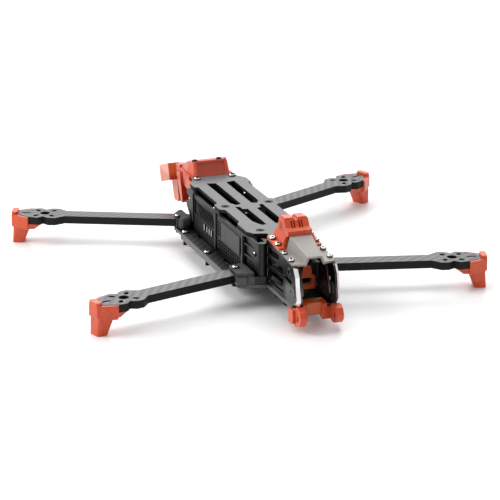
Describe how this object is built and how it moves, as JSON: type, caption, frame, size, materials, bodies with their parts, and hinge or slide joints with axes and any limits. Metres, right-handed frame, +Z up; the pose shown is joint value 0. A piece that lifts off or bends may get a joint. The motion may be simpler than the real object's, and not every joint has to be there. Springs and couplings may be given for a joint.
{
  "type": "fpv drone frame",
  "caption": "Long-range quadcopter frame: swept carbon arms on printed feet, sided electronics bay, alloy nose cage with a tilting camera bracket.",
  "frame": {"origin": "on the ground under the feet, halfway along the frame and on its centre plane", "axes": "+X towards the nose, +Y towards the frame's left, +Z up"},
  "size_m": [0.2903, 0.3078, 0.0704],
  "materials": {
    "carbon_laminate": "matte woven laminate",
    "printed_tpu": "translucent, layered print",
    "moulded_nylon": "fine matte",
    "cage_alloy": "dark anodised with bright cut bevels; the hood is plain",
    "standoff_alloy": "black anodised",
    "black_screws": "black oxide",
    "steel_screws": "satin"
  },
  "bodies": {
    "frame": {"antenna_mount_front": "printed_tpu", "antenna_mount_rear": "printed_tpu", "arm_bolts_rear": "black_screws", "arm_brace_front": "carbon_laminate", "arm_brace_rear": "carbon_laminate", "arm_front_left": "carbon_laminate", "arm_front_right": "carbon_laminate", "arm_nuts_rear": "black_screws", "arm_rear_left": "carbon_laminate", "arm_rear_right": "carbon_laminate", "base_plate": "carbon_laminate", "bumper_screws": "black_screws", "cage_hood": "cage_alloy", "cage_plate_left": "cage_alloy", "cage_plate_right": "cage_alloy", "cage_screws": "black_screws", "clamp_block_front_left": "moulded_nylon", "clamp_block_front_right": "moulded_nylon", "clamp_cap_front_left": "moulded_nylon", "clamp_cap_front_right": "moulded_nylon", "clamp_nuts_front": "black_screws", "clamp_rear_left": "moulded_nylon", "clamp_rear_right": "moulded_nylon", "clamp_screws_front": "steel_screws", "clamp_screws_rear": "steel_screws", "flange_screws": "steel_screws", "foot_front_left": "printed_tpu", "foot_front_right": "printed_tpu", "foot_rear_left": "printed_tpu", "foot_rear_right": "printed_tpu", "gps_mount": "printed_tpu", "gps_screws": "black_screws", "hood_screws": "steel_screws", "lower_plate": "carbon_laminate", "nose_bumper": "printed_tpu", "panel_screws": "steel_screws", "pivot_pins": "black_screws", "post_screws": "black_screws", "rear_bulkhead": "moulded_nylon", "side_panel_left": "moulded_nylon", "side_panel_right": "moulded_nylon", "standoffs": "standoff_alloy", "top_plate": "carbon_laminate", "top_screws_rear": "steel_screws", "top_screws_sunk": "black_screws", "wing_screws": "steel_screws"},
    "camera": {"camera_bracket": "cage_alloy", "camera_cushion": "printed_tpu"}
  },
  "joints": [
    {"name": "camera_tilt", "type": "hinge", "parent": "frame", "child": "camera", "pos_m": [0.12475, 0, 0.027], "axis": [0, -1, 0], "range_deg": [0, 35]}
  ]
}
